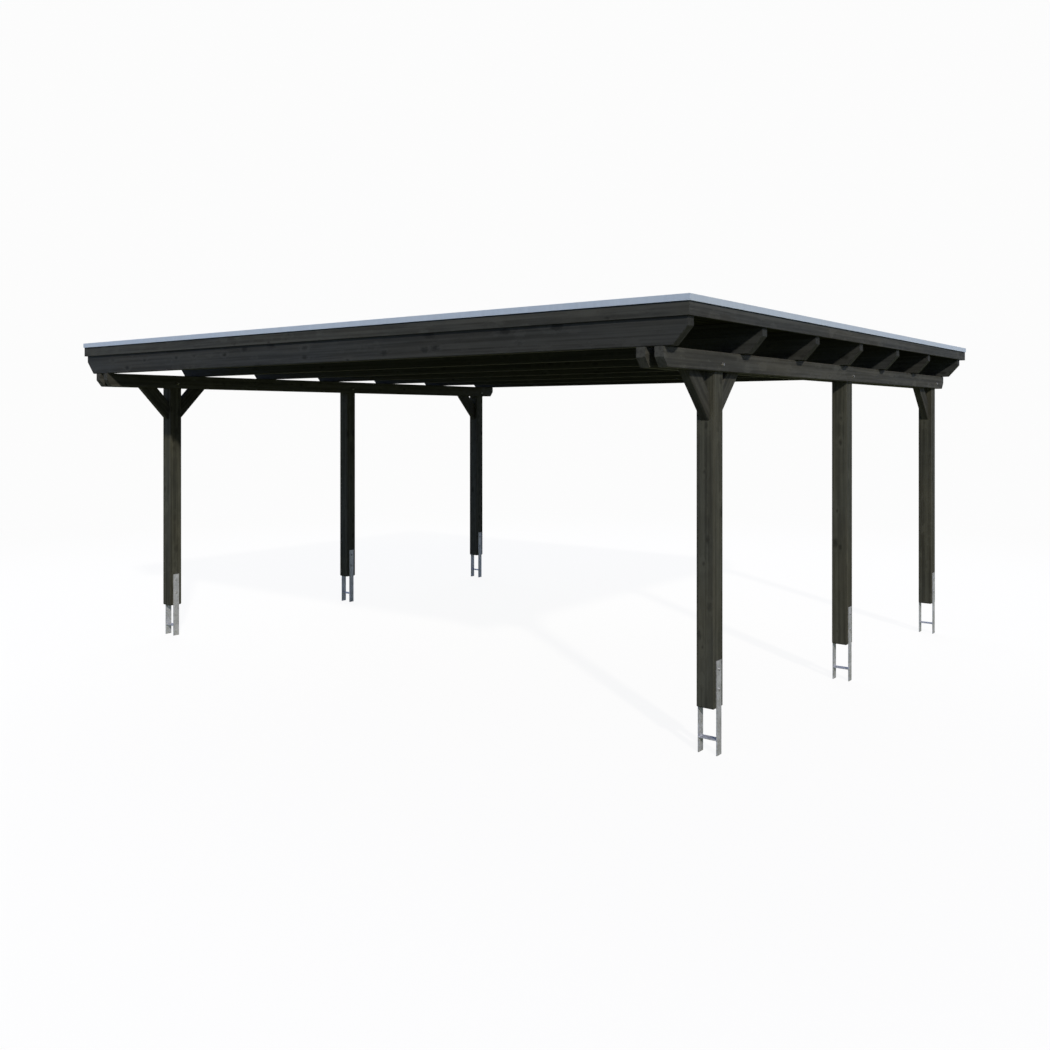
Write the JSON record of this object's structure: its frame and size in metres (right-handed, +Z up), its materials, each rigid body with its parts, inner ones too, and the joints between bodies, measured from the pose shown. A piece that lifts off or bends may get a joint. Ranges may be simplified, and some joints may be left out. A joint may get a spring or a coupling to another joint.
{
  "type": "double carport",
  "caption": "Free-standing double carport: a flat boarded roof on rafters, twin beams and square timber posts with knee braces, standing on H-shaped steel anchors.",
  "frame": {"origin": "on the ground plane at the anchor feet, under the middle of the roof outline", "axes": "+X to the right as seen from the entrance, +Y from the entrance to the back, +Z up"},
  "size_m": [6.242, 5.609, 2.755],
  "materials": {
    "stained_timber": "planed spruce with a dark slate-grey stain, faint grain showing",
    "roof_boarding": "tongued and grooved roof boards, stained dark",
    "roof_membrane": "matte black rubber sheet",
    "edge_trim": "pale blue-grey coated sheet metal",
    "galvanised_steel": "hot-dip galvanised flat steel"
  },
  "bodies": {
    "root": {"post_left_front": "stained_timber", "anchor_left_front": "galvanised_steel", "post_left_middle": "stained_timber", "anchor_left_middle": "galvanised_steel", "post_left_rear": "stained_timber", "anchor_left_rear": "galvanised_steel", "post_right_front": "stained_timber", "anchor_right_front": "galvanised_steel", "post_right_middle": "stained_timber", "anchor_right_middle": "galvanised_steel", "post_right_rear": "stained_timber", "anchor_right_rear": "galvanised_steel", "beam_left_outer": "stained_timber", "beam_left_inner": "stained_timber", "beam_right_outer": "stained_timber", "beam_right_inner": "stained_timber", "brace_left_front": "stained_timber", "brace_left_second": "stained_timber", "brace_left_rear": "stained_timber", "brace_right_front": "stained_timber", "brace_right_second": "stained_timber", "brace_right_rear": "stained_timber", "rafter_1": "stained_timber", "rafter_2": "stained_timber", "rafter_3": "stained_timber", "rafter_4": "stained_timber", "rafter_5": "stained_timber", "rafter_6": "stained_timber", "rafter_7": "stained_timber", "roof_deck": "roof_boarding", "roof_membrane": "roof_membrane", "fascia_front": "stained_timber", "trim_front": "edge_trim", "fascia_rear": "stained_timber", "trim_rear": "edge_trim", "fascia_left": "stained_timber", "trim_left": "edge_trim", "fascia_right": "stained_timber", "trim_right": "edge_trim"}
  },
  "joints": []
}
